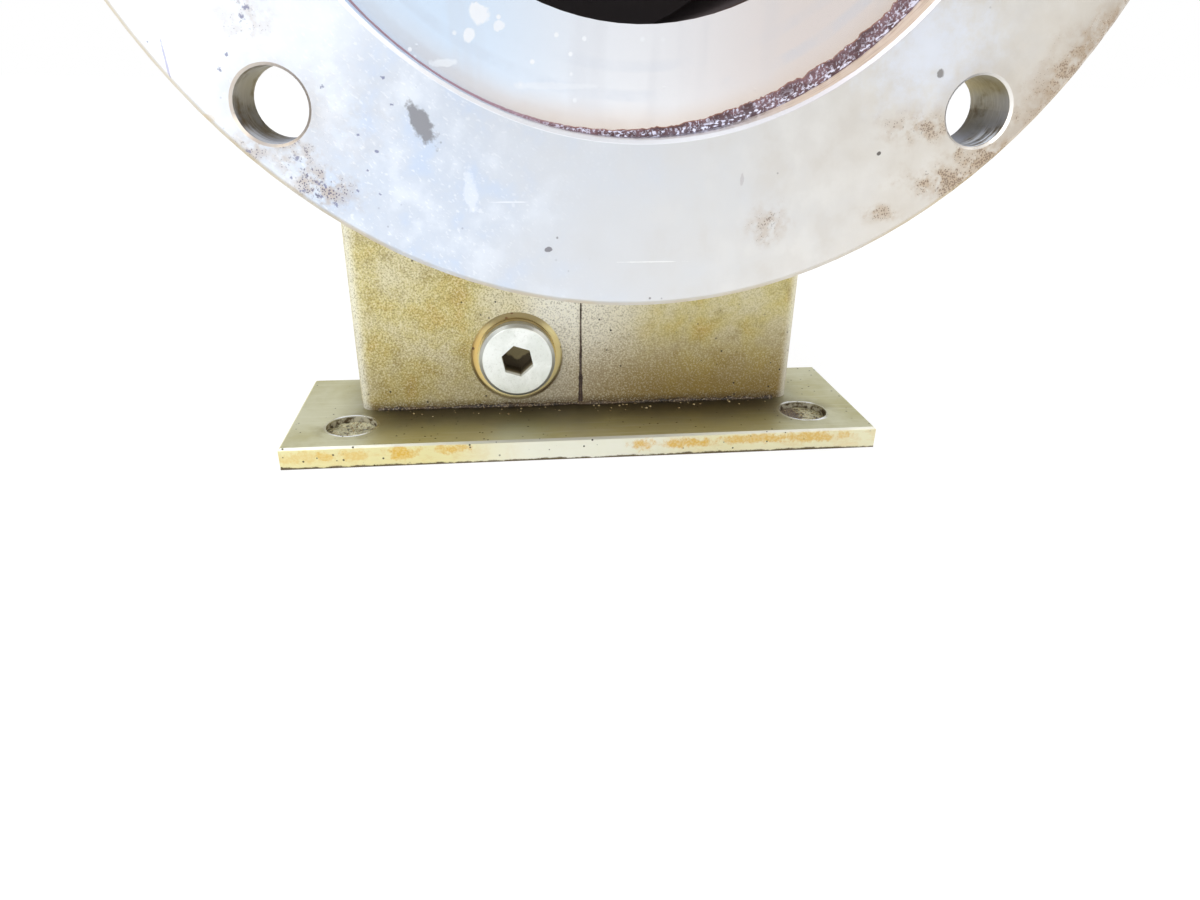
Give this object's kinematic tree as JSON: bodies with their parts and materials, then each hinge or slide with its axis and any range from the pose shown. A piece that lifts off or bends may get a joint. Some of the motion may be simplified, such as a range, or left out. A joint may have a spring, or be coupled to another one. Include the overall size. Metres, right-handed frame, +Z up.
{
  "type": "worm gear reducer",
  "caption": "Right-angle worm gear reducer with a C-face motor flange and coupling, a split cast housing on flat foot bars, a keyed output shaft and oil plugs.",
  "frame": {"origin": "centre of the rectangle of foot holes, on the plane the feet stand on, under the output axis", "axes": "+X along the output shaft, out of its open end; -Y along the worm axis towards the motor; +Z up"},
  "size_m": [0.199, 0.2515, 0.2255],
  "materials": {
    "cast_aluminium": "fine blasted casting, stained golden olive",
    "machined_aluminium": "bright turned faces with fine pits",
    "plated_steel": "satin plated bar, olive grey",
    "zinc_steel": "bright zinc",
    "black_steel": "black oxide",
    "ground_steel": "ground",
    "bearing_steel": "polished",
    "coupling_iron": "dark and oily",
    "wheel_iron": "turned iron",
    "wheel_bronze": "hobbed bronze",
    "sealing_copper": "soft copper alloy, dulled",
    "spider_rubber": "moulded rubber",
    "seal_rubber": "moulded nitrile"
  },
  "bodies": {
    "housing": {"adapter_bolts": "zinc_steel", "bore_retaining_rings": "black_steel", "breather_plug": "zinc_steel", "dowel_pins": "ground_steel", "drain_plug": "zinc_steel", "foot_bar_front": "plated_steel", "foot_bar_rear": "plated_steel", "foot_screws": "zinc_steel", "front_worm_bearing_cup": "bearing_steel", "housing_left": "cast_aluminium", "housing_right": "cast_aluminium", "housing_screws_long": "zinc_steel", "housing_screws_short": "zinc_steel", "input_seal": "seal_rubber", "left_output_bearing_cup": "bearing_steel", "level_plug": "zinc_steel", "motor_adapter": "machined_aluminium", "output_bearing_shims": "ground_steel", "output_end_cap": "seal_rubber", "output_seal": "seal_rubber", "plug_washers": "sealing_copper", "rear_cover": "machined_aluminium", "rear_cover_screws": "zinc_steel", "rear_worm_bearing_cup": "bearing_steel", "right_output_bearing_cup": "bearing_steel", "worm_bearing_shims": "ground_steel"},
    "input": {"worm_shaft": "ground_steel", "front_worm_bearing_cone": "bearing_steel", "rear_worm_bearing_cone": "bearing_steel", "worm_hub": "coupling_iron", "coupling_spider": "spider_rubber", "motor_hub": "coupling_iron", "worm_hub_key": "ground_steel", "coupling_set_screws": "black_steel"},
    "output": {"output_shaft": "ground_steel", "wheel_hub": "wheel_iron", "wheel_rim": "wheel_bronze", "wheel_key": "ground_steel", "wheel_lock_screws": "black_steel", "spacer_sleeve": "ground_steel", "left_output_bearing_cone": "bearing_steel", "right_output_bearing_cone": "bearing_steel"},
    "front_worm_rollers": {"front_worm_bearing_rollers": "bearing_steel"},
    "rear_worm_rollers": {"rear_worm_bearing_rollers": "bearing_steel"},
    "left_output_rollers": {"left_output_bearing_rollers": "bearing_steel"},
    "right_output_rollers": {"right_output_bearing_rollers": "bearing_steel"}
  },
  "joints": [
    {"name": "output_spin", "type": "hinge", "parent": "housing", "child": "output", "pos_m": [0, 0, 0.08], "axis": [1, 0, 0], "continuous": true},
    {"name": "input_spin", "type": "hinge", "parent": "housing", "child": "input", "pos_m": [0, 0, 0.143], "axis": [0, 1, 0], "continuous": true},
    {"name": "front_worm_rollers_spin", "type": "hinge", "parent": "housing", "child": "front_worm_rollers", "pos_m": [0, 0, 0.143], "axis": [0, 1, 0], "continuous": true},
    {"name": "rear_worm_rollers_spin", "type": "hinge", "parent": "housing", "child": "rear_worm_rollers", "pos_m": [0, 0, 0.143], "axis": [0, 1, 0], "continuous": true},
    {"name": "left_output_rollers_spin", "type": "hinge", "parent": "housing", "child": "left_output_rollers", "pos_m": [0, 0, 0.08], "axis": [1, 0, 0], "continuous": true},
    {"name": "right_output_rollers_spin", "type": "hinge", "parent": "housing", "child": "right_output_rollers", "pos_m": [0, 0, 0.08], "axis": [1, 0, 0], "continuous": true}
  ],
  "couplings": [
    {"joint": "input_spin", "follows": "output_spin", "ratio": 30},
    {"joint": "front_worm_rollers_spin", "follows": "output_spin", "ratio": 12.137},
    {"joint": "rear_worm_rollers_spin", "follows": "output_spin", "ratio": 12.137},
    {"joint": "left_output_rollers_spin", "follows": "output_spin", "ratio": 0.4253},
    {"joint": "right_output_rollers_spin", "follows": "output_spin", "ratio": 0.4253}
  ]
}
